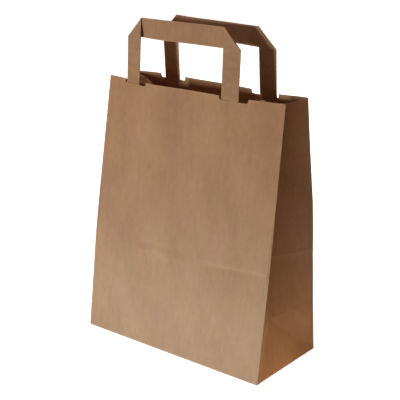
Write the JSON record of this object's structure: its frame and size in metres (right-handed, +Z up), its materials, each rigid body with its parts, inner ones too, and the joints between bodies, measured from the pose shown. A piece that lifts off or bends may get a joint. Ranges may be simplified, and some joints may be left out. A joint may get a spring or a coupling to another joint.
{
  "type": "paper carrier bag",
  "caption": "Open-topped kraft paper carrier bag with a folded block bottom, tucked side gussets and flat folded paper handles glued inside its front and back panels.",
  "frame": {"origin": "on the surface the bag stands on, under the middle of its rectangular bottom", "axes": "+Z up through the open mouth; +X along the wide front panel, to the right for someone facing it; -Y out of the front panel"},
  "size_m": [0.22, 0.1, 0.3271],
  "materials": {
    "kraft_body": "matt unbleached kraft, faintly ribbed and fibrous",
    "kraft_handle": "matt unbleached kraft strip, folded flat in several layers",
    "kraft_patch": "matt unbleached kraft"
  },
  "bodies": {
    "root": {"bag_body": "kraft_body", "front_handle": "kraft_handle", "back_handle": "kraft_handle", "front_handle_patch": "kraft_patch", "back_handle_patch": "kraft_patch"}
  },
  "joints": []
}
